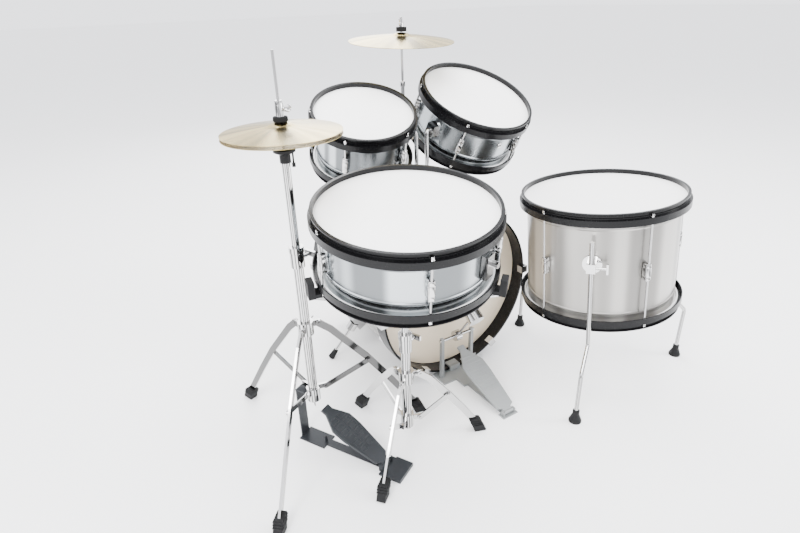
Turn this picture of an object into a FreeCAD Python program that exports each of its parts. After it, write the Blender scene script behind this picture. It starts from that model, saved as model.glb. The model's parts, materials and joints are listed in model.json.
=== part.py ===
import FreeCAD, Part
import math
import os
import re
import Sketcher
from FreeCAD import Placement, Rotation, Vector

# Five-piece junior drum kit. Working frame: +Y runs along the bass drum from the
# player to the audience, +X to the player's right, +Z up, millimetres. Its zero
# is the floor point under the near edge of the bass drum. At the end everything
# is moved so that the kit's box stands centred on the origin.

doc = FreeCAD.newDocument("drum_kit")
sheet = doc.addObject("Spreadsheet::Sheet", "Sizes")

DRUM_SIZES = {
    # prefix: shell radius, height from rim to rim, top centre x, y, z, lean to x, lean to y, first lug
    "snare": (152.4, 138.8, -248.3, -166.3, 551.4, -2.52, -7.10, -110),
    "left_tom": (101.6, 138.0, -147.3, 154.2, 649.3, -5.36, -22.08, -139),
    "right_tom": (127.0, 135.0, 168.9, 154.0, 648.1, 3.36, -26.85, -133),
    "floor_tom": (165.1, 265.5, 283.9, -150.7, 465.3, -2.15, 4.49, -109),
}
DRUM_FIELDS = ("radius", "height", "x", "y", "z", "lean_x", "lean_y", "lug_angle")

SIZES = {
    # drums with pressed metal hoops
    "shell_wall": 5.0,
    "rim_rise": 10.0,
    "rim_reach": 13.0,
    "wall_reach": 9.0,
    "skirt_reach": 11.0,
    "flange_reach": 17.0,
    "hoop_sheet": 2.0,
    "hoop_depth": 27.0,
    "flange_depth": 13.0,
    "seat_gap": 0.1,
    "head_film": 1.0,
    "head_reach": 8.0,
    "fit_gap": 0.4,
    "collar_depth": 9.0,
    "rod_reach": 12.6,
    "tension_rod_radius": 2.4,
    "rod_head_radius": 3.8,
    "rod_head_height": 7.0,
    "lug_count": 5,
    "lug_width": 13.0,
    "lug_depth": 15.6,
    "lug_height": 38.0,
    # bass drum
    "bass_radius": 199.0,
    "bass_depth": 305.0,
    "bass_hoop_radius": 210.2,
    "bass_hoop_wall": 5.0,
    "bass_hoop_width": 40.0,
    "bass_hoop_overhang": 34.5,
    "bass_centre_height": 216.1,
    "bass_lug_angle": -57.5,
    "bass_lug_count": 6,
    "bass_lug_height": 46.0,
    "bass_rod_reach": 17.0,
    "claw_width": 18.0,
    "claw_gauge": 3.0,
    # tom mounting
    "mount_x": 0.0,
    "mount_length": 64.0,
    "mount_width": 34.0,
    "mount_height": 40.0,
    "arm_radius": 4.75,
    "arm_drop": 30.0,
    "arm_bend": 9.0,
    "arm_spread": 15.0,
    "box_depth": 15.0,
    "box_width": 22.0,
    "box_height": 30.0,
    "plate_radius": 19.0,
    "plate_gauge": 3.0,
    "left_tom_box_angle": -14,
    "right_tom_box_angle": -166,
    "slide_gap": 0.06,
    # crash cymbal
    "crash_x": 38.5,
    "crash_y": 288.0,
    "crash_z": 768.4,
    "crash_radius": 127.0,
    "crash_bow": 19.0,
    "crash_lean": -3.8,
    "crash_rod_radius": 5.0,
    "crash_drop": 60.0,
    "crash_tip_radius": 3.0,
    "crash_step": 677.0,
    "cymbal_gauge": 1.0,
    "bell_radius": 24.0,
    "felt_radius": 12.5,
    "felt_height": 11.0,
    # hi-hat
    "hihat_x": -404.0,
    "hihat_y": -30.5,
    "hihat_radius": 101.6,
    "hihat_bow": 15.0,
    "hihat_rim_z": 670.0,
    "hihat_gap": 5.0,
    "hihat_rod_radius": 2.5,
    "hihat_rod_top": 798.0,
    "hihat_rod_bottom": 108.0,
    "clutch_radius": 7.2,
    "clutch_height": 26.0,
    "tube_radius": 9.5,
    "tube_wall": 1.5,
    "telescope_gap": 0.8,
    "seat_bush_height": 20.0,
    "hihat_tube_bottom": 112.0,
    "hihat_tube_top": 462.0,
    "collar_height": 41.0,
    "collar_radius": 14.0,
    # pedals
    "hihat_pedal_angle": -61.7,
    "hihat_heel": 170.0,
    "hihat_toe": 24.0,
    "hihat_toe_z": 96.0,
    "bass_pedal_x": -10.0,
    "bass_heel": 203.0,
    "bass_toe": 22.0,
    "bass_toe_z": 84.0,
    "board_width": 60.0,
    "board_gauge": 6.0,
    "axle_y": -9.0,
    "axle_z": 110.0,
    "post_spread": 45.0,
    "beater_length": 105.0,
    "beater_radius": 19.0,
    "beater_lean": 35.0,
    # tripods
    "leg_width": 14.0,
    "leg_gauge": 4.5,
    "brace_width": 11.0,
    "brace_gauge": 3.0,
    "side_gap": 0.4,
    "pin_radius": 2.5,
    "hub_height": 28.0,
    "fitting_height": 30.0,
    # snare stand
    "stand_x": -244.6,
    "stand_y": -142.7,
    "stand_tube_bottom": 40.0,
    "stand_tube_top": 275.0,
    "stand_rod_top": 352.0,
    "tilt_rise": 10.0,
    "yoke_lift": 16.0,
    "basket_rod_radius": 4.5,
    # floor tom legs and bass spurs
    "leg_rod_radius": 4.75,
    "hoop_to_leg": 17.55,
    "floor_leg_top": 55.0,
    "floor_leg_block": 112.0,
    "floor_leg_bend": 235.0,
    "floor_leg_foot_reach": 236.0,
    "floor_foot_height": 30.0,
    "foot_width": 18.0,
    "spur_radius": 4.0,
    "spur_top_x": 193.0,
    "spur_top_y": 190.0,
    "spur_top_z": 108.0,
    "spur_foot_x": 249.7,
    "spur_foot_y": 226.4,
    "spur_foot_z": 2.05,
}

# Bends of flat legs and links from the pivot outward: distance from the stand's axis, height.
BENDS = {
    "hihat_leg": ((27, 291), (49, 272), (120, 186), (168, 118), (236, 16)),
    "hihat_brace": ((27, 140), (123, 178)),
    "snare_leg": ((30, 172), (48, 158), (88, 110), (122, 66), (158, 14)),
    "snare_brace": ((27, 62), (88, 110)),
}
# Directions round an axis, in degrees, for the parts lettered a, b and c.
DIRECTIONS = {
    "hihat_leg": (108.8, -132.1, -10.9),
    "snare_leg": (100.3, -140.6, -21.5),
    "basket_arm": (169, 59, -51),
    "floor_leg": (-146, -26, 94),
}

row = 0


def add_size(name, number):
    """Write one driving size into the sheet under its own name."""
    global row
    row += 1
    sheet.set("A%d" % row, name)
    sheet.set("B%d" % row, str(number))
    sheet.setAlias("B%d" % row, name)


for prefix, numbers in DRUM_SIZES.items():
    for field, number in zip(DRUM_FIELDS, numbers):
        add_size(prefix + "_" + field, number)
for name, number in SIZES.items():
    add_size(name, number)
add_size("inner_radius", "=tube_radius - tube_wall - telescope_gap")
add_size("floor_leg_reach", "=leg_rod_radius + hoop_to_leg")
for name, bends in BENDS.items():
    for letter, (reach, rise) in zip("abcde", bends):
        add_size("%s_reach_%s" % (name, letter), reach)
        add_size("%s_rise_%s" % (name, letter), rise)
for name, angles in DIRECTIONS.items():
    for letter, angle in zip("abc", angles):
        add_size("%s_angle_%s" % (name, letter), angle)
doc.recompute()

nodes = []
pivots = {}


def formula(text):
    """Point the size names in a formula at the sheet."""
    return re.sub(r"\b([a-z]\w+)\b(?!\()", r"Sizes.\1", str(text))


def value(text):
    """Work out a formula of size names as a number."""
    return float(sheet.evalExpression(formula(text)))


def bind(item, **formulas):
    """Tie properties of an object to formulas of the sheet."""
    for key, text in formulas.items():
        item.setExpression(key, formula(text))


def bends(name):
    """The bends of a flat leg or link as pairs of formulas."""
    letters = "abcde"[:len(BENDS[name])]
    return [("%s_reach_%s" % (name, letter), "%s_rise_%s" % (name, letter)) for letter in letters]


def directions(name):
    """The three directions of lettered parts, in degrees."""
    return [value("%s_angle_%s" % (name, letter)) for letter in "abc"]


def spin(angle):
    """A turn about the local Z axis."""
    return Rotation(Vector(0, 0, 1), angle)


def at(x, y, z, turn=None):
    """A placement at a point given by formulas."""
    return Placement(Vector(value(x), value(y), value(z)), turn or Rotation())


def toward(direction):
    """The turn that takes the local Z axis to a direction."""
    return Rotation(Vector(0, 0, 1), direction)


def node(label, item, place=None):
    """Name a finished sub-part and put it in its frame."""
    item.Label = label
    if place:
        item.Placement = place
    nodes.append(item)
    return item


def base_plane(body, role):
    """One of the body's own origin planes."""
    return [part for part in body.Origin.OriginFeatures if part.Role == role][0]


def outline(body, plane, points):
    """Draw a closed outline whose corners are tied to size formulas."""
    sketch = body.newObject("Sketcher::SketchObject", "outline")
    sketch.AttachmentSupport = (base_plane(body, plane), [""])
    sketch.MapMode = "FlatFace"
    spots = [Vector(value(x), value(y), 0) for x, y in points]
    count = len(spots)
    sketch.addGeometry([Part.LineSegment(spots[i], spots[(i + 1) % count]) for i in range(count)])
    rules = [Sketcher.Constraint("Coincident", i, 2, (i + 1) % count, 1) for i in range(count)]
    ties = []
    for i, (x, y) in enumerate(points):
        for kind, axis, text, number in (("DistanceX", -2, x, spots[i].x),
                ("DistanceY", -1, y, spots[i].y)):
            if str(text) == "0":
                rules.append(Sketcher.Constraint("PointOnObject", i, 1, axis))
            else:
                ties.append((len(rules), text))
                rules.append(Sketcher.Constraint(kind, -1, 1, i, 1, number))
    sketch.addConstraint(rules)
    for index, text in ties:
        sketch.setExpression("Constraints[%d]" % index, formula(text))
    return sketch


def turned(name, points, place=None):
    """A body turned about Z from (radius, height) points."""
    body = doc.addObject("PartDesign::Body", name)
    sketch = outline(body, "XZ_Plane", points)
    turn = body.newObject("PartDesign::Revolution", name + "_turn")
    turn.Profile = sketch
    turn.ReferenceAxis = (sketch, ["V_Axis"])
    turn.Angle = 360
    body.Tip = turn
    body.Placement = place or Placement()
    return body


def plate(name, plane, points, thickness, place=None):
    """A body padded equally to both sides of one of its planes."""
    body = doc.addObject("PartDesign::Body", name)
    sketch = outline(body, plane, points)
    pad = body.newObject("PartDesign::Pad", name + "_pad")
    pad.Profile = sketch
    pad.Midplane = True
    bind(pad, Length=thickness)
    body.Tip = pad
    body.Placement = place or Placement()
    return body


def rod(radius, length, place=None):
    """A round bar standing on its placement."""
    item = doc.addObject("Part::Cylinder", "rod")
    bind(item, Radius=radius, Height=length)
    item.Placement = place or Placement()
    return item


def cone(low, high, length, place=None):
    """A tapered round bar standing on its placement."""
    item = doc.addObject("Part::Cone", "cone")
    bind(item, Radius1=low, Radius2=high, Height=length)
    item.Placement = place or Placement()
    return item


def ball(radius, place):
    """A ball centred on its placement."""
    item = doc.addObject("Part::Sphere", "ball")
    bind(item, Radius=radius)
    item.Placement = place
    return item


def block(length, width, height, place=None):
    """A box centred on its placement."""
    item = doc.addObject("Part::Box", "block")
    bind(item, Length=length, Width=width, Height=height)
    centre = Vector(-value(length) / 2, -value(width) / 2, -value(height) / 2)
    item.Placement = (place or Placement()).multiply(Placement(centre, Rotation()))
    return item


def bar(start, end, radius):
    """A round bar between two points."""
    run = end - start
    return rod(radius, "%.6f" % run.Length, Placement(start, toward(run)))


def group(items, place=None):
    """Separate solids kept together as one sub-part."""
    item = doc.addObject("Part::Compound", "group")
    item.Links = items
    item.Placement = place or Placement()
    return item


def fused(items, place=None):
    """Pieces welded into one."""
    item = doc.addObject("Part::MultiFuse", "fused")
    item.Shapes = items
    item.Placement = place or Placement()
    return item


def cut(base, tool, place=None):
    """A piece with another taken out of it."""
    item = doc.addObject("Part::Cut", "cut")
    item.Base = base
    item.Tool = tool
    item.Placement = place or Placement()
    return item


def around(make, count, first):
    """Copies of a piece at equal steps about Z, as a list."""
    step = 360.0 / count
    return [make(Placement(Vector(), spin(first + step * i))) for i in range(count)]


def bent_bar(name, points, radius, bend):
    """A round bar bent through its points, with an arc at every inner point."""
    edges = []
    start = points[0]
    for before, corner, after in zip(points, points[1:], points[2:]):
        inward = (before - corner).normalize()
        outward = (after - corner).normalize()
        half = inward.getAngle(outward) / 2
        setback = bend / math.tan(half)
        middle = (inward + outward).normalize()
        enter = corner + inward * setback
        leave = corner + outward * setback
        top = corner + middle * (bend / math.sin(half) - bend)
        edges.append(Part.LineSegment(start, enter).toShape())
        edges.append(Part.Arc(enter, top, leave).toShape())
        start = leave
    edges.append(Part.LineSegment(start, points[-1]).toShape())
    section = Part.Wire([Part.Circle(points[0], points[1] - points[0], radius).toShape()])
    item = doc.addObject("Part::Feature", name)
    item.Shape = Part.Wire(edges).makePipeShell([section], True, True)
    return item


def drum_frame(prefix):
    """The placement of a drum: origin at its top rim, Z along its axis."""
    lean_x = math.radians(value(prefix + "_lean_x"))
    lean_y = math.radians(value(prefix + "_lean_y"))
    axis = Vector(math.sin(lean_x), math.cos(lean_x) * math.sin(lean_y),
            math.cos(lean_x) * math.cos(lean_y))
    across = Vector(axis.z, 0, -axis.x).normalize()
    centre = Vector(value(prefix + "_x"), value(prefix + "_y"), value(prefix + "_z"))
    return Placement(centre, Rotation(across, axis.cross(across), axis, "ZXY"))


# ---- drums ----------------------------------------------------------------


def head(radius, reach, collar):
    """A drum head: flat film with its collar, lying with its top at zero."""
    rim = "%s + %s" % (radius, reach)
    lip = "%s + %s - head_film * 3" % (radius, reach)
    return turned("head", [("0", "0"), (rim, "0"), (rim, "-" + collar), (lip, "-" + collar),
                           (lip, "-head_film"), ("0", "-head_film")])


def metal_hoop(radius):
    """A pressed hoop: flared rim, wall, step over the head and lower flange, top at zero."""
    rim = radius + " + rim_reach"
    wall = radius + " + wall_reach"
    skirt = radius + " + skirt_reach"
    flange = radius + " + flange_reach"
    return turned("hoop", [(wall + " - hoop_sheet", "0"), (rim, "0"), (rim, "-hoop_sheet"),
                           (wall, "-hoop_sheet * 2"), (wall, "-rim_rise + hoop_sheet"),
                           (skirt, "-rim_rise + hoop_sheet / 2"), (skirt, "-flange_depth"),
                           (flange, "-flange_depth"), (flange, "-hoop_depth"),
                           (flange + " - hoop_sheet", "-hoop_depth"),
                           (flange + " - hoop_sheet", "-flange_depth - hoop_sheet"),
                           (skirt + " - hoop_sheet", "-flange_depth - hoop_sheet"),
                           (skirt + " - hoop_sheet", "-rim_rise + seat_gap"),
                           (wall + " - hoop_sheet", "-rim_rise + seat_gap")])


def tension_rod(radius, length, place):
    """One tension rod with its square head, hanging from its placement."""
    shank = rod("tension_rod_radius", length, place.multiply(at("0", "0", "-(%s)" % length)))
    top = block("rod_head_radius * 1.5", "rod_head_radius * 1.5", "rod_head_height",
                place.multiply(at("0", "0", "rod_head_height / 2")))
    washer = rod("rod_head_radius", "1.5", place)
    return fused([shank, top, washer])


def build_metal_drum(prefix):
    """Shell, hoops, heads, lugs and rods of a drum with pressed hoops."""
    frame = drum_frame(prefix)
    radius = prefix + "_radius"
    height = prefix + "_height"
    middle = "-%s / 2" % height
    top = "-rim_rise - head_film"
    bottom = "rim_rise + head_film - " + height
    shell = turned("shell", [(radius, bottom), (radius, top), (radius + " - shell_wall", top),
                             (radius + " - shell_wall", bottom)])
    node(prefix + "_shell", shell, frame)
    flip = Rotation(Vector(1, 0, 0), 180)
    heads = [head(radius, "head_reach", "collar_depth"), head(radius, "head_reach", "collar_depth")]
    heads[0].Placement = at("0", "0", "-rim_rise")
    heads[1].Placement = at("0", "0", "rim_rise - " + height, flip)
    node(prefix + "_heads", group(heads), frame)
    reach = radius + " + rod_reach"
    first = value(prefix + "_lug_angle")
    count = int(value("lug_count"))
    turns = around(lambda turn: turn, count, first)
    hoops = [metal_hoop(radius), metal_hoop(radius)]
    hoops[1].Placement = at("0", "0", "-" + height, flip)
    cuts = []
    for turn in turns:
        cuts.append(rod("tension_rod_radius + fit_gap", height + " - flange_depth * 2",
                        turn.multiply(at(reach, "0", "flange_depth - " + height))))
        pocket = "rod_head_radius + fit_gap"
        cuts.append(rod(pocket, "flange_depth - hoop_sheet * 2",
                turn.multiply(at(reach, "0", "-flange_depth"))))
        cuts.append(rod(pocket, "flange_depth - hoop_sheet * 2",
                        turn.multiply(at(reach, "0", "flange_depth - " + height, flip))))
    node(prefix + "_hoops", cut(group(hoops), group(cuts)), frame)
    pieces = []
    run = "%s / 2 - flange_depth - lug_height / 2 + 4" % height
    for turn in turns:
        lug = block("lug_depth", "lug_width", "lug_height",
                turn.multiply(at(radius + " + lug_depth / 2 + 0.3",
                                                                             "0", middle)))
        upper = tension_rod(radius, run, turn.multiply(at(reach, "0", "-flange_depth + seat_gap")))
        lower = tension_rod(radius, run, turn.multiply(at(reach, "0",
                "flange_depth - seat_gap - " + height, flip)))
        pieces.append(fused([lug, upper, lower]))
    node(prefix + "_lugs", group(pieces), frame)
    return frame


frames = {prefix: build_metal_drum(prefix) for prefix in DRUM_SIZES}


def build_bass_drum():
    """The bass drum: shell, wide hoops, heads, lugs with rods and claws."""
    frame = Placement(Vector(0, 0, value("bass_centre_height")), Rotation(Vector(1, 0, 0), 90))
    near = "-bass_hoop_overhang - head_film"
    far = "-bass_hoop_overhang - bass_depth + head_film"
    radius = "bass_radius"
    shell = turned("shell", [(radius, far), (radius, near), (radius + " - shell_wall", near),
                             (radius + " - shell_wall", far)])
    shell.Placement = frame
    flip = Rotation(Vector(1, 0, 0), 180)
    end = "-bass_hoop_overhang * 2 - bass_depth"
    heads = [head(radius, "5", "12"), head(radius, "5", "12")]
    heads[0].Placement = at("0", "0", "-bass_hoop_overhang")
    heads[1].Placement = at("0", "0", "-bass_hoop_overhang - bass_depth", flip)
    node("bass_heads", group(heads), frame)
    inner = "bass_hoop_radius - bass_hoop_wall"
    hoops = [turned("hoop", [(inner, "0"), ("bass_hoop_radius", "0"),
            ("bass_hoop_radius", "-bass_hoop_width"),
                             (inner, "-bass_hoop_width")]) for side in range(2)]
    hoops[1].Placement = at("0", "0", end, flip)
    node("bass_hoops", group(hoops), frame)
    pieces = []
    reach = "bass_radius + bass_rod_reach"
    middle = "-bass_hoop_overhang - bass_depth / 2"
    for turn in around(lambda turn: turn, int(value("bass_lug_count")), value("bass_lug_angle")):
        lug = block("lug_depth + 12", "lug_width", "bass_lug_height",
                    turn.multiply(at(radius + " + lug_depth / 2 + 6.3", "0", middle)))
        shank = rod("tension_rod_radius", "bass_depth + bass_hoop_overhang * 2 + 4",
                    turn.multiply(at(reach, "0", end + " - 2")))
        parts = [lug, shank]
        for side in (0, 1):
            place = turn if side == 0 else turn.multiply(at("0", "0", end, Rotation(Vector(1, 0, 0), 180)))
            lip = block("claw_gauge", "claw_width", "14",
                    place.multiply(at("bass_hoop_radius - bass_hoop_wall "
                        "- claw_gauge / 2 - fit_gap", "0", "-6")))
            bridge = block("bass_rod_reach + 2", "claw_width", "claw_gauge",
                           place.multiply(at("bass_radius + 11.8", "0", "claw_gauge / 2 + fit_gap")))
            cheek = block("claw_gauge", "claw_width", "22",
                    place.multiply(at("bass_radius + bass_rod_reach + 2.4", "0",
                          "-11 + claw_gauge + fit_gap")))
            wing = block("6", "20", "7", place.multiply(at(reach + " + 2", "0", "-26")))
            parts += [lip, bridge, cheek, wing]
        pieces.append(fused(parts))
    node("bass_lugs", group(pieces), frame)
    return frame, shell


bass_frame, bass_shell = build_bass_drum()

# ---- tom and cymbal mounts on the bass drum ---------------------------------


def radial(prefix, angle, depth):
    """Point on a shell and outward direction there, in the working frame."""
    frame = frames[prefix]
    outward = Vector(math.cos(math.radians(angle)), math.sin(math.radians(angle)), 0)
    local = outward * value(prefix + "_radius") + Vector(0, 0, -depth)
    return frame.multVec(local), frame.Rotation.multVec(outward)


posts = {}


def build_tom_mount(prefix, side):
    """Bracket on the tom and the bent arm that carries it."""
    angle = value(prefix + "_box_angle")
    depth = value(prefix + "_height") / 2
    point, outward = radial(prefix, angle, depth)
    post = Vector(value("mount_x") + side * value("arm_spread"), 0, 0)
    reach = (post.x - point.x) / outward.x
    elbow = point + outward * reach
    turn = frames[prefix].Rotation.multiply(spin(angle)).multiply(Rotation(Vector(0, 1, 0), 90))
    place = Placement(point, turn)
    bore = rod("arm_radius + slide_gap", "box_depth + 40", place.multiply(at("0", "0", "-20")))
    disc = rod("plate_radius", "plate_gauge + 2", place.multiply(at("0", "0", "-2")))
    box = block("box_height", "box_width", "box_depth",
            place.multiply(at("0", "0", "box_depth / 2 + plate_gauge")))
    shell = rod(prefix + "_radius + 0.3", prefix + "_height",
            frames[prefix].multiply(at("0", "0", "-%s_height" % prefix)))
    whole = cut(fused([disc, box]), shell)
    screw_root = point + outward * value("box_depth / 2 + plate_gauge")
    screw_way = turn.multVec(Vector(1, 0, 0))
    near = screw_root + screw_way * value("box_height / 2")
    screw = bar(near, near + screw_way * 16, "3")
    node(prefix + "_bracket", cut(fused([whole, screw]), bore))
    foot = Vector(elbow.x, elbow.y, value("bass_centre_height + bass_radius - arm_drop"))
    start = point + outward * 3.5
    node(prefix + "_arm", bent_bar("arm", [start, elbow, foot], value("arm_radius"), value("arm_bend")))
    posts[prefix] = elbow
    pivots[prefix + "_tilt"] = (point, outward * side * -1)
    pivots[prefix + "_height"] = (elbow, Vector(0, 0, 1))


build_tom_mount("left_tom", -1)
build_tom_mount("right_tom", 1)


def spur_line(side):
    """Top, foot and direction of a bass drum spur."""
    top = Vector(side * value("spur_top_x"), value("spur_top_y"), value("spur_top_z"))
    foot = Vector(side * value("spur_foot_x"), value("spur_foot_y"), value("spur_foot_z"))
    return top, foot, (foot - top).normalize()


def build_bass_brackets():
    """Blocks bolted to the bass drum: tom posts, crash rod and both spurs."""
    crown = value("bass_centre_height + bass_radius")
    barrel = rod("bass_radius + 0.3", "bass_depth + 40",
            bass_frame.multiply(at("0", "0", "-bass_depth - 60")))
    middle_y = (posts["left_tom"].y + posts["right_tom"].y) / 2
    mount = block("mount_length", "mount_width", "mount_height + 6",
                  Placement(Vector(value("mount_x"), middle_y, crown + value("mount_height") / 2 - 3),
                  Rotation()))
    bores = [rod("arm_radius + slide_gap", "mount_height + 90",
            Placement(Vector(post.x, post.y, crown - 40), Rotation()))
             for post in posts.values()]
    holes = [rod("arm_radius + 1", "60", Placement(Vector(post.x, post.y, crown - 40), Rotation()))
             for post in posts.values()]
    holder_spot = Vector(value("crash_x"), value("crash_y"), crown - 4)
    holder = block("26", "24", "52", Placement(holder_spot + Vector(0, 0, 14), Rotation()))
    bores.append(rod("crash_rod_radius + slide_gap", "120",
            Placement(holder_spot - Vector(0, 0, 40), Rotation())))
    holes.append(rod("crash_rod_radius + 1", "60", Placement(holder_spot - Vector(0, 0, 40), Rotation())))
    blocks = [cut(mount, barrel), cut(holder, barrel)]
    for side in (-1, 1):
        top, foot, run = spur_line(side)
        place = Placement(top + run * 6, toward(run))
        shank = rod("13", "22", place.multiply(at("0", "0", "-11")))
        foot_plate = block("34", "26", "40", Placement(Vector(side * 176, top.y + 4, top.z + 6),
                                                        Rotation(Vector(0, 1, 0), side * 30)))
        blocks.append(cut(fused([shank, foot_plate]), barrel))
        bores.append(rod("spur_radius + slide_gap", "150", Placement(top - run * 45, toward(run))))
        holes.append(rod("spur_radius + 1", "150", Placement(top - run * 60, toward(run))))
    node("bass_shell", cut(bass_shell, group(holes)))
    screws = [bar(Vector(post.x, post.y - value("mount_width") / 2 - 14, crown + 24),
                  Vector(post.x, post.y - value("mount_width") / 2 + 10, crown + 24),
                  "3.5") for post in posts.values()]
    screws.append(bar(holder_spot + Vector(0, 8, 30), holder_spot + Vector(0, 28, 30), "3.5"))
    node("bass_brackets", cut(group([fused([blocks[0]] + screws[:2]),
            fused([blocks[1], screws[2]])] + blocks[2:]),
                              group(bores)))


build_bass_brackets()

for side, label in ((-1, "left_spur"), (1, "right_spur")):
    top, foot, run = spur_line(side)
    shaft = bar(top - run * 19, foot - run * 8, "spur_radius")
    tip = cone("8.5", "6.5", "26", Placement(Vector(foot.x, foot.y, foot.z) + run * -3, toward(run * -1)))
    node(label, fused([shaft, tip]))
    pivots[label + "_slide"] = (top, run)

# ---- cymbals ----------------------------------------------------------------


def cymbal(radius, bow):
    """A thin bowed disc with a bell, rim at zero and bell upward."""
    gauge = "cymbal_gauge"
    low = [(radius, "0"), ("%s * 0.6" % radius, "%s * 0.42" % bow), ("bell_radius", "%s * 0.68" % bow),
           ("bell_radius * 0.6", "%s * 0.94" % bow), ("4.2", bow)]
    high = [(x, "%s + %s" % (y, gauge)) for x, y in reversed(low)]
    return turned("cymbal", low + high)


crash_lean = Rotation(Vector(1, 0, 0), -value("crash_lean"))
crash_spot = Vector(value("crash_x"), value("crash_y"), value("crash_z"))
crash_hole = crash_spot + Vector(0, 0, value("crash_bow"))
crash_rim = crash_hole - crash_lean.multVec(Vector(0, 0, value("crash_bow")))
node("crash_cymbal", cymbal("crash_radius", "crash_bow"), Placement(crash_rim, crash_lean))
pivots["crash_swing"] = (crash_hole, Vector(1, 0, 0))
crash_top = value("crash_z + crash_bow + cymbal_gauge")
crown = value("bass_centre_height + bass_radius")
rod_base = Vector(crash_spot.x, crash_spot.y, crown - value("crash_drop"))
lower = bar(rod_base, Vector(crash_spot.x, crash_spot.y, value("crash_step")), "crash_rod_radius")
upper = bar(Vector(crash_spot.x, crash_spot.y, value("crash_step")),
            Vector(crash_spot.x, crash_spot.y, crash_top + 26), "crash_tip_radius")
sleeve = cone("9", "6.5", "8", Placement(Vector(crash_spot.x, crash_spot.y,
        value("crash_z + crash_bow") - 10.5), Rotation()))
felt = rod("felt_radius", "felt_height", Placement(Vector(crash_spot.x, crash_spot.y, crash_top + 1.6),
        Rotation()))
nut = rod("6.5", "8", Placement(Vector(crash_spot.x, crash_spot.y,
        crash_top + 1.6 + value("felt_height")), Rotation()))
wings = block("18", "3.5", "18", Placement(Vector(crash_spot.x, crash_spot.y,
        crash_top + value("felt_height") + 16), Rotation()))
node("crash_rod", fused([lower, upper, sleeve, felt, nut, wings]))
pivots["crash_height"] = (rod_base, Vector(0, 0, 1))

# ---- tripods ----------------------------------------------------------------


def flat_bar(points, width, gauge):
    """A flat bar standing on edge in its XZ plane, rounded at each point."""
    pieces = []
    for (x, z) in points:
        pieces.append(rod(width + " / 2", gauge, at(x, gauge + " / 2", z, Rotation(Vector(1, 0, 0), 90))))
    for (x0, z0), (x1, z1) in zip(points, points[1:]):
        run = "sqrt((%s - (%s))^2 + (%s - (%s))^2)" % (x1, x0, z1, z0)
        slope = math.degrees(math.atan2(value(z1) - value(z0), value(x1) - value(x0)))
        middle = at("(%s + %s) / 2" % (x0, x1), "0", "(%s + %s) / 2" % (z0, z1),
                Rotation(Vector(0, 1, 0), -slope))
        pieces.append(block(run, gauge, width, middle))
    return fused(pieces)


def sideways(distance):
    """Shift along the pin direction of a tripod leg."""
    return at("0", distance, "0")


def leg(points):
    """A tripod leg with its rubber foot, in its own XZ plane."""
    bar_piece = flat_bar(points, "leg_width", "leg_gauge")
    hole = rod("pin_radius + slide_gap", "20",
            at(points[0][0], "10", points[0][1], Rotation(Vector(1, 0, 0), 90)))
    x = points[-1][0]
    boot = plate("boot", "XZ_Plane", [(x + " - 20", "31"), (x + " + 2", "31"), (x + " + 17", "3"),
                                      (x + " + 15", "0"), (x + " - 9", "0")], "foot_width")
    ribs = [block("25", "foot_width + 3", "2.2",
            at(x + " - 7 + %d * 2.3" % step, "0", "27 - %d * 5" % step))
            for step in range(3)]
    return fused([cut(bar_piece, hole), boot] + ribs)


def brace(points):
    """A flat link from the lower fitting to the leg, with its rivet head."""
    side = "-(leg_gauge + brace_gauge) / 2 - side_gap"
    link = flat_bar(points, "brace_width", "brace_gauge")
    link.Placement = sideways(side)
    hole = rod("pin_radius + slide_gap", "30",
            at(points[0][0], "15", points[0][1], Rotation(Vector(1, 0, 0), 90)))
    x, z = points[-1]
    rivet = rod("4", "2", at(x, side + " - brace_gauge / 2", z, Rotation(Vector(1, 0, 0), 90)))
    return fused([cut(link, hole), rivet])


def ring(inner, outer, low, height):
    """A plain collar about Z."""
    return turned("ring", [(inner, low), (outer, low), (outer, "%s + %s" % (low, height)),
                           (inner, "%s + %s" % (low, height))])


def pivot_pin(x, z, near, length):
    """A pin lying across a leg's plane."""
    return rod("pin_radius", length, at(x, near, z, Rotation(Vector(1, 0, 0), 90)))


def hub(points, angles, centre):
    """Sliding collar with an ear and a pin for each leg."""
    x, z = points[0]
    collar = ring("tube_radius + 0.35", "tube_radius + 6", "%s - hub_height / 2" % centre, "hub_height")
    ear_side = "leg_gauge / 2 + side_gap + 1.5"
    pieces = [collar]
    for angle in angles:
        turn = Placement(Vector(), spin(angle))
        ear = block("%s - tube_radius + 2" % x, "3", "13", turn.multiply(
            at("(%s + tube_radius + 6) / 2 + 1" % x, ear_side, "(%s)" % z)))
        pin = pivot_pin(x, z, "leg_gauge / 2 + side_gap + 4", "leg_gauge + side_gap + 5.5")
        pin.Placement = turn.multiply(pin.Placement)
        pieces += [ear, pin]
    return fused(pieces)


def fitting(points, angles, low):
    """Fixed collar at the tube's end with an ear and a pin for each brace."""
    x, z = points[0]
    collar = ring("tube_radius - 0.01", "tube_radius + 4.5", low, "fitting_height")
    pieces = [collar]
    for angle in angles:
        turn = Placement(Vector(), spin(angle))
        ear = block("%s - tube_radius + 2" % x, "leg_gauge", "11", turn.multiply(
            at("(%s + tube_radius + 6) / 2" % x, "0", z)))
        pin = pivot_pin(x, z, "leg_gauge / 2", "leg_gauge + brace_gauge + side_gap + 2")
        pin.Placement = turn.multiply(pin.Placement)
        pieces += [ear, pin]
    return pieces


def clamp_collar(top):
    """Clamp ring at the top of a lower tube, with its wing screw."""
    inside = "inner_radius + 0.5"
    collar = turned("clamp", [(inside, top + " - collar_height"),
            ("collar_radius - 1", top + " - collar_height"),
                              ("collar_radius - 1", top + " - 12"), ("collar_radius", top + " - 11"),
                              ("collar_radius", top), (inside, top)])
    return collar


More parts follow.
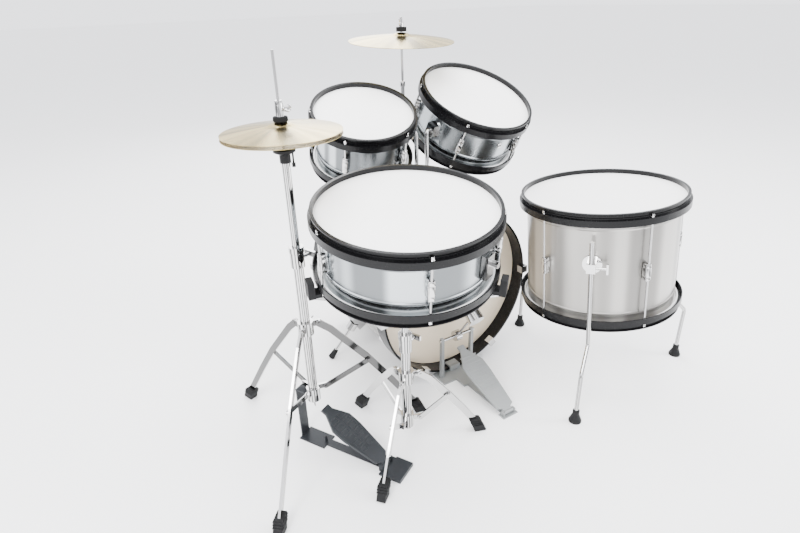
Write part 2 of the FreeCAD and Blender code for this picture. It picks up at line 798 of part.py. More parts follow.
hihat_frame = Placement(Vector(value("hihat_x"), value("hihat_y"), 0), Rotation())
hihat_angles = directions("hihat_leg")
hihat_leg = bends("hihat_leg")
hihat_brace = bends("hihat_brace")


def place_at(item, angle):
    """Turn a leg or brace to its place round the stand."""
    item.Placement = Placement(Vector(), spin(angle))
    return item


node("hihat_legs", group([place_at(leg(hihat_leg), angle) for angle in hihat_angles]), hihat_frame)
node("hihat_braces", group([place_at(brace(hihat_brace), angle) for angle in hihat_angles]), hihat_frame)
node("hihat_leg_hub", hub(hihat_leg, hihat_angles, "288"), hihat_frame)


def lower_tube(bottom, top, extras, frame, label):
    """A stand's lower tube with its end fitting and top clamp."""
    pipe = turned("tube", [("tube_radius - tube_wall", bottom), ("tube_radius", bottom),
                           ("tube_radius", top + " - collar_height - 0.3"),
                           ("tube_radius - tube_wall", top + " - collar_height - 0.3")])
    neck = turned("neck", [("tube_radius - tube_wall - 0.4", top + " - collar_height - 6"),
                           ("tube_radius - tube_wall + 0.5", top + " - collar_height - 6"),
                           ("tube_radius - tube_wall + 0.5", top + " - collar_height + 2"),
                           ("tube_radius - tube_wall - 0.4", top + " - collar_height + 2")])
    screw = bar(Vector(value("collar_radius") - 3, 0, value(top) - 26),
            Vector(value("collar_radius") + 16, 0, value(top) - 26), "3.5")
    wing = block("5", "26", "11", at("collar_radius + 19", "0", top + " - 26"))
    turned_screw = fused([clamp_collar(top), screw, wing])
    turned_screw.Placement = Placement(Vector(), spin(20))
    node(label, fused([pipe, neck, turned_screw] + extras), frame)


lower_tube("hihat_tube_bottom", "hihat_tube_top", fitting(hihat_brace, hihat_angles, "hihat_tube_bottom"),
           hihat_frame, "hihat_lower_tube")

# upper tube, seat and cymbals
seat_z = "hihat_rim_z - hihat_gap - hihat_bow"
tube_low = "hihat_tube_top - 150"
node("hihat_upper_tube", turned("tube", [("inner_radius - tube_wall", tube_low), ("inner_radius", tube_low),
                                          ("inner_radius", seat_z + " - 14"),
                                          ("inner_radius - tube_wall", seat_z + " - 14")]), hihat_frame)
seat_top = seat_z + " - cymbal_gauge - seat_gap"
bush_low = seat_z + " - seat_bush_height - 12"
bush = turned("bush", [("4", bush_low), ("9.5", bush_low), ("9.5", seat_z + " - 18"),
                       ("19", seat_z + " - 13"), ("19", seat_z + " - 9"), ("10", seat_z + " - 6"),
                       ("10", seat_top), ("4", seat_top)])
bush_hole = rod("inner_radius", "60", at("0", "0", seat_z + " - 74"))
tilt_spot = Vector(12, -6, value(seat_z) - 7)
tilt_screw = bar(tilt_spot, tilt_spot + Vector(0, 0, -26), "1.6")
tilt_knob = bar(tilt_spot + Vector(0, 0, -26), tilt_spot + Vector(0, 0, -33), "3.2")
node("hihat_seat", fused([cut(bush, bush_hole), tilt_screw, tilt_knob]), hihat_frame)
bottom_cymbal = cymbal("hihat_radius", "hihat_bow")
node("hihat_bottom_cymbal", bottom_cymbal, hihat_frame.multiply(
    at("0", "0", "hihat_rim_z - hihat_gap", Rotation(Vector(1, 0, 0), 180))))
node("hihat_top_cymbal", cymbal("hihat_radius", "hihat_bow"),
        hihat_frame.multiply(at("0", "0", "hihat_rim_z")))
clutch_low = "hihat_rim_z + hihat_bow + cymbal_gauge"
pull = bar(Vector(0, 0, value("hihat_rod_bottom")), Vector(0, 0, value("hihat_rod_top")),
        "hihat_rod_radius")
clutch = turned("clutch", [("0", clutch_low), ("felt_radius - 1", clutch_low),
        ("felt_radius", clutch_low + " + 9"),
                           ("clutch_radius", clutch_low + " + 9"),
                           ("clutch_radius", clutch_low + " + 9 + clutch_height"),
                           ("0", clutch_low + " + 9 + clutch_height")])
clutch_nut = rod("8", "3.4", at("0", "0", "hihat_rim_z + hihat_bow - 4.2"))
stem = rod("4.1", "8", at("0", "0", "hihat_rim_z + hihat_bow - 3"))
clutch_screw = bar(Vector(5, -3, value(clutch_low) + 22), Vector(15, -9, value(clutch_low) + 22), "2.5")
clutch_wing = block("3", "5", "20", at("17", "-10", clutch_low + " + 22", spin(-30)))
links = []
for step in range(2):
    links.append(block("2", "7", "9", at("0", "0", "hihat_rod_bottom - 3 - %d * 8" % step,
            spin(90 * step))))
node("hihat_pull_rod", fused([pull, clutch, clutch_nut, stem, clutch_screw, clutch_wing] + links),
        hihat_frame)
pivots["hihat_pull"] = (Vector(value("hihat_x"), value("hihat_y"), value("hihat_rod_bottom")),
        Vector(0, 0, 1))
pivots["hihat_height"] = (Vector(value("hihat_x"), value("hihat_y"), value("hihat_tube_top")),
        Vector(0, 0, 1))

# ---- snare stand ------------------------------------------------------------

stand_frame = Placement(Vector(value("stand_x"), value("stand_y"), 0), Rotation())
stand_angles = directions("snare_leg")
stand_leg = bends("snare_leg")
stand_brace = bends("snare_brace")
for name, angle in zip("abc", stand_angles):
    turn = stand_frame.multiply(Placement(Vector(), spin(angle)))
    node("snare_leg_" + name, leg(stand_leg), turn)
    node("snare_brace_" + name, brace(stand_brace), turn)
    pin_way = turn.Rotation.multVec(Vector(0, 1, 0))
    pivots["snare_leg_%s_fold" % name] = (turn.multVec(Vector(value(stand_leg[0][0]), 0,
            value(stand_leg[0][1]))), pin_way)
    pivots["snare_brace_%s_fold" % name] = (turn.multVec(Vector(value(stand_brace[0][0]), 0,
            value(stand_brace[0][1]))),
                                            pin_way)
node("snare_leg_hub", hub(stand_leg, stand_angles, "172"), stand_frame)
pivots["snare_hub_slide"] = (Vector(value("stand_x"), value("stand_y"), 172), Vector(0, 0, 1))
lower_tube("stand_tube_bottom", "stand_tube_top",
        fitting(stand_brace, stand_angles, "stand_tube_bottom + 6"),
           stand_frame, "snare_lower_tube")
rod_top = "stand_rod_top"
tilt_pivot = Vector(value("stand_x"), value("stand_y"), value("stand_rod_top + tilt_rise"))
post = rod("inner_radius", rod_top + " - stand_tube_top + 110", at("0", "0", "stand_tube_top - 110"))
knuckle = rod("9", "18", at("0", "0", rod_top + " - 18"))
tongue = block("7", "20", "19", at("0", "0", rod_top + " + 7.5"))
tongue_hole = rod("pin_radius + slide_gap", "40",
        at("-20", "0", rod_top + " + tilt_rise", toward(Vector(1, 0, 0))))
node("snare_upper_tube", cut(fused([post, knuckle, tongue]), tongue_hole), stand_frame)
pivots["snare_height"] = (Vector(value("stand_x"), value("stand_y"), value("stand_tube_top")),
        Vector(0, 0, 1))
pivots["snare_tilt"] = (tilt_pivot, Vector(1, 0, 0))


def build_basket():
    """Basket arms from the tilter to rubber grips on the snare's lower hoop."""
    frame = frames["snare"]
    centre = frame.inverse().multVec(tilt_pivot + Vector(0, 0, value("yoke_lift")))
    reach = value("snare_radius + flange_reach") + value("basket_rod_radius") + 4.0
    hoop_z = -value("snare_height")
    pieces = []
    grips = []
    for angle in directions("basket_arm"):
        outward = Vector(math.cos(math.radians(angle)), math.sin(math.radians(angle)), 0)
        points = [centre + outward * 4, outward * (reach - 30) + Vector(0, 0, hoop_z - 24),
                  outward * reach + Vector(0, 0, hoop_z - 12), outward * reach + Vector(0, 0, hoop_z + 6)]
        for start, end in zip(points, points[1:]):
            pieces.append(bar(start, end, "basket_rod_radius"))
            pieces.append(ball("basket_rod_radius", Placement(start, Rotation())))
        turn = Placement(Vector(), spin(angle))
        body = block("12", "22", "34", turn.multiply(Placement(Vector(reach + 1.6, 0, hoop_z + 6),
                Rotation())))
        lip = block("19", "22", "8", turn.multiply(Placement(Vector(reach - 8, 0, hoop_z - 6), Rotation())))
        core = group([bar(start, end, "basket_rod_radius + 0.05") for start, end in zip(points, points[1:])]
                     + [ball("basket_rod_radius + 0.05", Placement(spot, Rotation())) for spot in points])
        grips.append(cut(fused([body, lip]), core))
    yoke = rod("11", "10", Placement(centre - Vector(0, 0, 3), Rotation()))
    ears = [block("4", "20", "19", Placement(tilt_pivot + Vector(side * 5.9, 0, 4.5),
            Rotation())) for side in (-1, 1)]
    axle = bar(tilt_pivot + Vector(-14, 0, 0), tilt_pivot + Vector(14, 0, 0), "pin_radius")
    world = [group([fused(pieces + [yoke])], frame)] + ears + [axle]
    node("snare_basket", fused(world))
    node("snare_grips", group(grips), frame)


build_basket()
def build_strainer():
    """Snare wires under the lower head, their strainer and their butt plate."""
    frame = frames["snare"]
    turn = Placement(Vector(), spin(-67))
    low = "-snare_height + rim_rise - 2.5"
    wires = block("250", "32", "1.6", turn.multiply(at("0", "0", low)))
    body = block("12", "24", "44", turn.multiply(at("snare_radius + 6.4", "0", "-snare_height / 2")))
    knob = rod("6", "14", turn.multiply(at("snare_radius + 12", "0", "-snare_height / 2 + 8",
                                           Rotation(Vector(0, 1, 0), 90))))
    butt = block("9", "18", "26", turn.multiply(at("-snare_radius - 4.9", "0", "-snare_height / 2")))
    node("snare_strainer", group([wires, fused([body, knob]), butt]), frame)


build_strainer()

# ---- floor tom legs ---------------------------------------------------------


def build_floor_legs():
    """Three bent legs in brackets on the floor tom's shell."""
    frame = frames["floor_tom"]
    reach = value("floor_tom_radius + floor_leg_reach")
    centre = frame.multVec(Vector(0, 0, -value("floor_tom_height")))
    brackets = []
    for name, angle in zip("abc", directions("floor_leg")):
        outward = Vector(math.cos(math.radians(angle)), math.sin(math.radians(angle)), 0)
        top = frame.multVec(outward * reach + Vector(0, 0, -value("floor_leg_top")))
        bend = frame.multVec(outward * reach + Vector(0, 0, -value("floor_leg_bend") - 60))
        level = frame.Rotation.multVec(outward)
        flat = Vector(level.x, level.y, 0).normalize()
        foot = Vector(centre.x, centre.y, 0) + flat * value("floor_leg_foot_reach")
        points = [top, bend, Vector(foot.x, foot.y, bend.z - 48),
                Vector(foot.x, foot.y, value("floor_foot_height") - 14)]
        shaft = bent_bar("shaft", points, value("leg_rod_radius"), 12)
        rubber = turned("rubber", [("0", "0"), ("14", "0"), ("14", "4"), ("7.5", "20"),
                ("7.5", "floor_foot_height"),
                                   ("0", "floor_foot_height")], Placement(foot, Rotation()))
        node("floor_leg_" + name, fused([shaft, rubber]))
        turn = Placement(Vector(), spin(angle))
        middle = "-floor_leg_block"
        disc = rod("20", "4", turn.multiply(at("floor_tom_radius - 1", "0", middle,
                Rotation(Vector(0, 1, 0), 90))))
        jaw = block("floor_leg_reach + 6", "18", "20",
                turn.multiply(at("floor_tom_radius + floor_leg_reach / 2 + 4", "0", middle)))
        screw = rod("3", "24", turn.multiply(at("floor_tom_radius + floor_leg_reach", "8", middle,
                                                Rotation(Vector(1, 0, 0), -90))))
        grip = block("7", "4", "22", turn.multiply(at("floor_tom_radius + floor_leg_reach", "32", middle)))
        bore = rod("leg_rod_radius + slide_gap", "300",
                turn.multiply(at("floor_tom_radius + floor_leg_reach", "0", "-280")))
        barrel = rod("floor_tom_radius + 0.3", "floor_tom_height", at("0", "0", "-floor_tom_height"))
        brackets.append(cut(cut(fused([disc, jaw, screw, grip]), bore), barrel))
        pivots["floor_leg_%s_slide" % name] = (top, frame.Rotation.multVec(Vector(0, 0, 1)))
    node("floor_tom_brackets", group(brackets), frame)


build_floor_legs()

# ---- pedals -----------------------------------------------------------------


def board(length, heel_x, heel_z, toe_x, toe_z, nose, heel_half):
    """A shaped footboard from its hinge to its toe, with the hinge knuckle."""
    slope = math.degrees(math.atan2(value(toe_z) - value(heel_z), abs(value(toe_x) - value(heel_x))))
    half = "board_width / 2"
    side = [("0", "11.5"), ("9", "11.5"), ("13", heel_half), ("%s * 0.55" % length, half),
            ("%s * 0.72" % length, half), ("%s * 0.92" % length, nose), (length, nose)]
    wide = [(x, "-" + y) for x, y in side] + side[::-1]
    return plate("board", "XY_Plane", wide, "board_gauge"), slope


def build_hihat_pedal():
    """Floor frame, heel plate and footboard of the hi-hat."""
    frame = hihat_frame.multiply(Placement(Vector(), spin(value("hihat_pedal_angle"))))
    run = "sqrt((hihat_heel - hihat_toe)^2 + (hihat_toe_z - 12)^2)"
    shape, slope = board(run, "hihat_heel", "12", "hihat_toe", "hihat_toe_z", "11", "19")
    place = at("hihat_heel", "0", "12", Rotation(Vector(0, 0, 1),
            180).multiply(Rotation(Vector(0, 1, 0), -slope)))
    shape.Placement = place
    knuckle = rod("5", "24", at("hihat_heel", "12", "12", Rotation(Vector(1, 0, 0), 90)))
    hole = rod("2.58", "60", at("hihat_heel", "30", "12", Rotation(Vector(1, 0, 0), 90)))
    node("hihat_footboard", cut(fused([shape, knuckle]), hole), frame)
    strip = block("3", "24", "126", at("-37", "0", "66"))
    shelf = block("24.3", "24", "3", at("-26.4", "0", "128"))
    base = block("66", "40", "3", at("-5", "0", "1.5"))
    rail = block("hihat_heel - 22", "18", "3", at("(hihat_heel + 22) / 2", "0", "1.5"))
    heel = block("50", "54", "4", at("hihat_heel + 24", "0", "2"))
    rest = block("38", "54", "5", at("hihat_heel + 30", "0", "6"))
    cheeks = [block("12", "5", "16", at("hihat_heel", str(side * 15), "8.5")) for side in (-1, 1)]
    pin = rod("2.5", "36", at("hihat_heel", "18", "12", Rotation(Vector(1, 0, 0), 90)))
    screw = rod("3", "16", at("20", "0", "2"))
    node("hihat_pedal_frame", fused([strip, shelf, base, rail, heel, rest, pin, screw] + cheeks), frame)
    pivots["hihat_press"] = (frame.multVec(Vector(value("hihat_heel"), 0, 12)),
            frame.Rotation.multVec(Vector(0, 1, 0)))


def build_bass_pedal():
    """Base, posts, axle with beater, and footboard of the bass pedal."""
    frame = Placement(Vector(value("bass_pedal_x"), 0, 0), spin(-90))
    run = "sqrt((bass_heel - bass_toe)^2 + (bass_toe_z - 9)^2)"
    shape, slope = board(run, "bass_heel", "9", "bass_toe", "bass_toe_z", "9", "22")
    shape.Placement = at("bass_heel", "0", "9",
            Rotation(Vector(0, 0, 1), 180).multiply(Rotation(Vector(0, 1, 0), -slope)))
    knuckle = rod("4.5", "24", at("bass_heel", "12", "9", Rotation(Vector(1, 0, 0), 90)))
    hole = rod("2.08", "60", at("bass_heel", "30", "9", Rotation(Vector(1, 0, 0), 90)))
    node("bass_footboard", cut(fused([shape, knuckle]), hole), frame)
    base = block("50", "116", "4", at("13", "0", "2"))
    tongue_piece = block("32", "44", "4", at("54", "0", "2"))
    rail = block("bass_heel - 60", "24", "3", at("(bass_heel + 60) / 2", "0", "1.5"))
    heel = block("18", "42", "3", at("bass_heel", "0", "1.5"))
    cheeks = [block("9", "4", "12", at("bass_heel", str(side * 15), "7")) for side in (-1, 1)]
    pin = rod("2", "34", at("bass_heel", "17", "9", Rotation(Vector(1, 0, 0), 90)))
    posts_pair = []
    for side in (-1, 1):
        column = block("9", "8", "axle_z + 6", at("-axle_y", "%d * post_spread" % side, "(axle_z + 6) / 2"))
        posts_pair.append(cut(column, rod("4.08", "40",
                at("-axle_y", "%d * post_spread + 20" % side, "axle_z",
                                                             Rotation(Vector(1, 0, 0), 90)))))
    jaw = block("18", "30", "5", at("-10", "0", "15.5"))
    riser = block("4", "30", "17", at("3", "0", "9.5"))
    node("bass_pedal_frame", fused([base, tongue_piece, rail, heel, pin, jaw,
            riser] + cheeks + posts_pair), frame)
    axle = rod("4", "post_spread * 2 + 14",
            at("-axle_y", "post_spread + 7", "axle_z", Rotation(Vector(1, 0, 0), 90)))
    star = rod("13", "16", at("-axle_y", "8", "axle_z", Rotation(Vector(1, 0, 0), 90)))
    pivot = Vector(-value("axle_y"), 0, value("axle_z"))
    lean = math.radians(value("beater_lean"))
    way = Vector(math.sin(lean), 0, math.cos(lean))
    tip = pivot + way * value("beater_length")
    shaft = bar(pivot + way * 4, tip + way * 12, "3")
    felt_head = rod("beater_radius", "32",
            Placement(tip + Vector(-way.z, 0, way.x) * -16, toward(Vector(-way.z, 0, way.x))))
    node("bass_beater", fused([axle, star, shaft, felt_head]), frame)
    pivots["bass_press"] = (frame.multVec(Vector(value("bass_heel"), 0, 9)), Vector(1, 0, 0))
    pivots["beater_swing"] = (frame.multVec(pivot), Vector(1, 0, 0))


build_hihat_pedal()
build_bass_pedal()

# ---- finish -----------------------------------------------------------------

doc.recompute()
for item in doc.Objects:
    if "Invalid" in item.State or "Error" in item.State:
        raise RuntimeError("failed object: " + item.Name + " " + item.Label)
box = FreeCAD.BoundBox()
for item in nodes:
    if item.Shape.isNull() or not item.Shape.isValid():
        raise RuntimeError("bad shape: " + item.Label)
    box.add(item.Shape.BoundBox)
shift = Vector(-box.Center.x, -box.Center.y, -box.ZMin)
os.makedirs("parts", exist_ok=True)
for item in nodes:
    item.Placement = Placement(item.Placement.Base + shift, item.Placement.Rotation)
doc.recompute()
for item in nodes:
    item.Shape.exportStep("parts/%s.step" % item.Label)
print("SHIFT %.3f %.3f %.3f" % tuple(shift))
for name, (point, axis) in sorted(pivots.items()):
    spot = point + shift
    print("PIVOT %s %.3f %.3f %.3f %.6f %.6f %.6f" % ((name,) + tuple(spot) + tuple(axis)))
print("NODES %d, box %.1f x %.1f x %.1f" % (len(nodes), box.XLength, box.YLength, box.ZLength))
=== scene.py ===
"""Looks of the drum kit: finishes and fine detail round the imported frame."""
import json
import logging
import math
from dataclasses import dataclass
from enum import Enum

import bmesh
import bpy
from mathutils import Matrix, Vector


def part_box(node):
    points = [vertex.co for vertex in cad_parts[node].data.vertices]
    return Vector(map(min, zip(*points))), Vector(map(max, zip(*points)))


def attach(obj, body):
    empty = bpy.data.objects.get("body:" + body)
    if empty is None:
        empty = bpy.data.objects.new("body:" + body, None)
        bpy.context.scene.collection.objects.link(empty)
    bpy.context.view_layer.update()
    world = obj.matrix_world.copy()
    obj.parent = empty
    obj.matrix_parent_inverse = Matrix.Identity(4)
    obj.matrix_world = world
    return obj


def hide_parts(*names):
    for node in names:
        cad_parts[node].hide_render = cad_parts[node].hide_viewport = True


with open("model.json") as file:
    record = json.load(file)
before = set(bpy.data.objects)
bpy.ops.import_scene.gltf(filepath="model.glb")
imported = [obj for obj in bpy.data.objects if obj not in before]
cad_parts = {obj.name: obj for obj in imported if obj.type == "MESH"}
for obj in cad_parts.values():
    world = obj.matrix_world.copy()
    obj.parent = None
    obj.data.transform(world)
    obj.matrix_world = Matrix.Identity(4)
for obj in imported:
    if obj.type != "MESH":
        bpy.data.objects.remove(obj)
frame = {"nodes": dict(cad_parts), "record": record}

log = logging.getLogger("drum_kit")
UP = Vector((0.0, 0.0, 1.0))
MM = 0.001
CORE = 1e-5
WELD = 1e-6
ROUND_STEPS = 160
SCREW_STEPS = 24
SOFT_CREASE = 50.0
ROD_TIP = 0.15
WING_HUB = (5.2 * MM, 4.5 * MM)
WING_LOBE = (3.2 * MM, 9.0 * MM)
WING_EDGE = 1.5 * MM
WING_SLOPE = 28.0

GRAIN_DETAIL = 3.0
COAT_ROUGHNESS = 0.12
SMOOTHEST = 0.02
BUMP_HEIGHT = 0.4 * MM
# Noise values at the dark and the light end of the painted reflection.
PAINTED_REFLECTION_SPAN = (0.40, 0.56)
LATHE_ANISOTROPY = 0.8
# Painted radial sheen of the cymbals: noise scale, detail, span and colour shares.
SHEEN_SCALE = 2.3
SHEEN_DETAIL = 1.5
SHEEN_SPAN = (0.34, 0.66)
SHEEN_SHARES = (0.48, 1.45)
MIX_COLOURS = (6, 7)
MIX_RESULT = 2


@dataclass(frozen=True)
class Finish:
    """A procedural surface finish."""

    name: str
    colour: tuple[float, float, float]
    metallic: float = 0.0
    roughness: float = 0.5
    coat: float = 0.0
    grain: float = 120.0
    mottling: float = 0.08
    relief: float = 0.0
    turned: bool = False
    # Depth of the painted reflection in the colour; spread sets the scale of its noise.
    painted_reflection: float = 0.0
    spread: float = 1.6
    specular: float = 0.5

    def shader(self, tree: bpy.types.NodeTree) -> bpy.types.Node:
        """Add this finish's shader to a node tree.

        Args:
            tree: Node tree that receives the nodes.

        Returns:
            The shader node.
        """
        nodes, links = tree.nodes, tree.links
        surface = nodes.new("ShaderNodeBsdfPrincipled")
        surface.inputs["Base Color"].default_value = (*self.colour, 1.0)
        surface.inputs["Metallic"].default_value = self.metallic
        surface.inputs["Coat Weight"].default_value = self.coat
        surface.inputs["Coat Roughness"].default_value = COAT_ROUGHNESS
        surface.inputs["Specular IOR Level"].default_value = self.specular
        where = nodes.new("ShaderNodeTexCoord")
        noise = nodes.new("ShaderNodeTexNoise")
        noise.inputs["Detail"].default_value = GRAIN_DETAIL
        noise.inputs["Scale"].default_value = self.grain
        # Turned finishes get lathe grain and painted radial sheen in their colour.
        if self.turned:
            self._turn_and_paint_sheen(tree, where, noise, surface)
        else:
            links.new(where.outputs["Object"], noise.inputs["Vector"])
        # Painted reflection: the colour follows noise on the surface normal.
        if self.painted_reflection:
            self._paint_reflection(tree, surface)
        spread = nodes.new("ShaderNodeMapRange")
        spread.inputs["To Min"].default_value = max(SMOOTHEST, self.roughness - self.mottling)
        spread.inputs["To Max"].default_value = self.roughness + self.mottling
        links.new(noise.outputs[0], spread.inputs["Value"])
        links.new(spread.outputs["Result"], surface.inputs["Roughness"])
        if self.relief:
            bump = nodes.new("ShaderNodeBump")
            bump.inputs["Strength"].default_value = self.relief
            bump.inputs["Distance"].default_value = BUMP_HEIGHT
            links.new(noise.outputs[0], bump.inputs["Height"])
            links.new(bump.outputs["Normal"], surface.inputs["Normal"])
        return surface

    def _paint_reflection(self, tree: bpy.types.NodeTree, surface: bpy.types.Node) -> None:
        """Paint reflection into the colour: darker and lighter patches follow the way a surface faces,
        standing in for the surroundings mirrored in polished metal.

        Args:
            tree: Node tree being filled.
            surface: Shader whose colour is driven.
        """
        facing = tree.nodes.new("ShaderNodeNewGeometry")
        reflection_noise = tree.nodes.new("ShaderNodeTexNoise")
        reflection_noise.inputs["Scale"].default_value = self.spread
        reflection_noise.inputs["Detail"].default_value = 1.0
        tree.links.new(facing.outputs["Normal"], reflection_noise.inputs["Vector"])
        self._blend(tree, reflection_noise.outputs[0], surface, PAINTED_REFLECTION_SPAN, (1.0 - self.painted_reflection, 1.0), "SMOOTHSTEP")

    def _blend(self, tree: bpy.types.NodeTree, source: bpy.types.NodeSocket, surface: bpy.types.Node,
               span: tuple[float, float], shares: tuple[float, float], easing: str = "LINEAR") -> None:
        """Paint shade and highlight into the colour: drive it between a darker and a lighter share of
        itself.

        Args:
            tree: Node tree being filled.
            source: Value that picks the tone.
            surface: Shader whose colour is driven.
            span: Values of the source at the dark and the light end.
            shares: Share of the colour at the dark and the light end.
            easing: How the tone runs between both ends.
        """
        tone = tree.nodes.new("ShaderNodeMapRange")
        tone.interpolation_type = easing
        tone.inputs["From Min"].default_value, tone.inputs["From Max"].default_value = span
        tree.links.new(source, tone.inputs["Value"])
        blend = tree.nodes.new("ShaderNodeMix")
        blend.data_type = "RGBA"
        for socket, share in zip(MIX_COLOURS, shares):
            tint = [min(1.0, share * part) for part in self.colour]
            blend.inputs[socket].default_value = (*tint, 1.0)
        tree.links.new(tone.outputs["Result"], blend.inputs[0])
        tree.links.new(blend.outputs[MIX_RESULT], surface.inputs["Base Color"])

    def _turn_and_paint_sheen(self, tree: bpy.types.NodeTree, where: bpy.types.Node, noise: bpy.types.Node,
              surface: bpy.types.Node) -> None:
        """Run the grain in rings about the local Z axis, as a lathe leaves it, and paint radial
        highlight wedges into the colour.

        Args:
            tree: Node tree being filled.
            where: Texture coordinate node.
            noise: Noise node whose input is driven by the radius.
            surface: Shader that takes the tangent and the painted sheen colour.
        """
        flat = tree.nodes.new("ShaderNodeVectorMath")
        flat.operation = "MULTIPLY"
        flat.inputs[1].default_value = (1.0, 1.0, 0.0)
        reach = tree.nodes.new("ShaderNodeVectorMath")
        reach.operation = "LENGTH"
        tree.links.new(where.outputs["Object"], flat.inputs[0])
        tree.links.new(flat.outputs["Vector"], reach.inputs[0])
        noise.noise_dimensions = "1D"
        tree.links.new(reach.outputs["Value"], noise.inputs["W"])
        tangent = tree.nodes.new("ShaderNodeTangent")
        tangent.direction_type = "RADIAL"
        tangent.axis = "Z"
        surface.inputs["Anisotropic"].default_value = LATHE_ANISOTROPY
        tree.links.new(tangent.outputs["Tangent"], surface.inputs["Tangent"])
        # Painted sheen: noise on the direction round the axis darkens and lightens fixed wedges of the
        # colour, standing in for radial highlights.
        heading = tree.nodes.new("ShaderNodeVectorMath")
        heading.operation = "NORMALIZE"
        tree.links.new(flat.outputs["Vector"], heading.inputs[0])
        sheen = tree.nodes.new("ShaderNodeTexNoise")
        sheen.inputs["Scale"].default_value = SHEEN_SCALE
        sheen.inputs["Detail"].default_value = SHEEN_DETAIL
        tree.links.new(heading.outputs["Vector"], sheen.inputs["Vector"])
        self._blend(tree, sheen.outputs[0], surface, SHEEN_SPAN, SHEEN_SHARES)

    def material(self) -> bpy.types.Material:
        """Make or reuse the material of this finish.

        Returns:
            The material.
        """
        known = bpy.data.materials.get(self.name)
        if known:
            return known
        made = bpy.data.materials.new(self.name)
        made.use_nodes = True
        made.node_tree.nodes.clear()
        shader = self.shader(made.node_tree)
        output = made.node_tree.nodes.new("ShaderNodeOutputMaterial")
        made.node_tree.links.new(shader.outputs[0], output.inputs["Surface"])
        return made


class Look(Enum):
    # METAL, SHELL and CHROME get a painted reflection in their colour.
    METAL = Finish(
        "metal_shell_look", (0.5, 0.535, 0.555), metallic=1.0, roughness=0.24, coat=0.15,
        grain=1200.0, mottling=0.04, relief=0.02, painted_reflection=0.7, spread=2.2)
    SHELL = Finish(
        "shell_wrap_look", (0.44, 0.425, 0.4), metallic=0.85, roughness=0.34, coat=0.3,
        grain=1600.0, relief=0.12, painted_reflection=0.52, spread=2.1)
    HOOP = Finish(
        "black_hoop_look", (0.004, 0.004, 0.0045), roughness=0.26, grain=400.0, mottling=0.05,
        relief=0.02, specular=0.18)
    HEAD = Finish(
        "drum_head_look", (0.95, 0.948, 0.94), roughness=0.45, coat=0.1, grain=700.0,
        mottling=0.06, relief=0.1)
    CREAM_HEAD = Finish(
        "cream_head_look", (0.66, 0.56, 0.42), roughness=0.33, coat=0.3, grain=500.0,
        mottling=0.05, relief=0.06)
    CHROME = Finish(
        "chrome_look", (0.7, 0.695, 0.69), metallic=1.0, roughness=0.09, grain=160.0,
        mottling=0.04, painted_reflection=0.84, spread=3.0)
    # Brass with painted radial sheen wedges in its colour.
    BRASS = Finish(
        "cymbal_look", (0.47, 0.375, 0.175), metallic=1.0, roughness=0.26, grain=1500.0,
        mottling=0.07, relief=0.1, turned=True)
    RUBBER = Finish(
        "rubber_look", (0.006, 0.006, 0.0065), roughness=0.62, grain=600.0, relief=0.15,
        specular=0.18)
    PLASTIC = Finish(
        "black_plastic_look", (0.005, 0.005, 0.0055), roughness=0.42, grain=500.0,
        mottling=0.06, relief=0.05, specular=0.18)
    FELT = Finish(
        "felt_look", (0.008, 0.008, 0.0085), roughness=0.95, grain=1400.0, mottling=0.04,
        relief=0.8, specular=0.2)
    DARK_STEEL = Finish(
        "pedal_black_look", (0.018, 0.02, 0.023), metallic=0.2, roughness=0.42, grain=600.0,
        relief=0.08, specular=0.25)
    GREY_PAINT = Finish(
        "pedal_grey_look", (0.23, 0.24, 0.24), metallic=0.25, roughness=0.4, coat=0.15,
        grain=500.0, mottling=0.07, relief=0.08)
    FLOOR = Finish(
        "studio_floor_look", (0.93, 0.93, 0.93), roughness=0.62, grain=3.0, mottling=0.05)


@dataclass(frozen=True)
class BandedFinish:
    """One finish with another between given heights, on one carried-over part."""

    name: str
    base: Finish
    accent: Finish
    bands: tuple[tuple[float, float], ...]

    def material(self) -> bpy.types.Material:
        """Make the two-part material.

        Returns:
            The material.
        """
        made = bpy.data.materials.new(self.name)
        made.use_nodes = True
        tree = made.node_tree
        tree.nodes.clear()
        shader = self.base.shader(tree)
        where = tree.nodes.new("ShaderNodeTexCoord")
        split = tree.nodes.new("ShaderNodeSeparateXYZ")
        tree.links.new(where.outputs["Object"], split.inputs[0])
        for low, high in self.bands:
            inside = tree.nodes.new("ShaderNodeMath")
            inside.operation = "COMPARE"
            inside.inputs[1].default_value = (low + high) / 2
            inside.inputs[2].default_value = (high - low) / 2
            tree.links.new(split.outputs["Z"], inside.inputs[0])
            mix = tree.nodes.new("ShaderNodeMixShader")
            tree.links.new(inside.outputs[0], mix.inputs[0])
            tree.links.new(shader.outputs[0], mix.inputs[1])
            tree.links.new(self.accent.shader(tree).outputs[0], mix.inputs[2])
            shader = mix
        output = tree.nodes.new("ShaderNodeOutputMaterial")
        tree.links.new(shader.outputs[0], output.inputs["Surface"])
        return made


def box_of(node: str) -> tuple[Vector, Vector]:
    """Low and high corner of a CAD node.

    Args:
        node: Name of the node.

    Returns:
        The two corners in metres.
    """
    low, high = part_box(node)
    return Vector(low), Vector(high)


def joint_of(name: str) -> dict:
    """Find a joint in the record.

    Args:
        name: Name of the joint.

    Returns:
        The joint's entry.
    """
    return next(item for item in frame["record"]["behaviour"]["joints"] if item["name"] == name)


def basis(x: Vector, y: Vector, z: Vector, origin: Vector) -> Matrix:
    """Build a placement from its axes.

    Args:
        x: Local X direction.
        y: Local Y direction.
        z: Local Z direction.
        origin: Local origin.

    Returns:
        The 4 by 4 placement.
    """
    place = Matrix((x, y, z)).transposed().to_4x4()
    place.translation = origin
    return place


def shift(x: float, y: float, z: float) -> Matrix:
    """Short name for a translation.

    Args:
        x: Distance along X.
        y: Distance along Y.
        z: Distance along Z.

    Returns:
        The translation.
    """
    return Matrix.Translation((x, y, z))


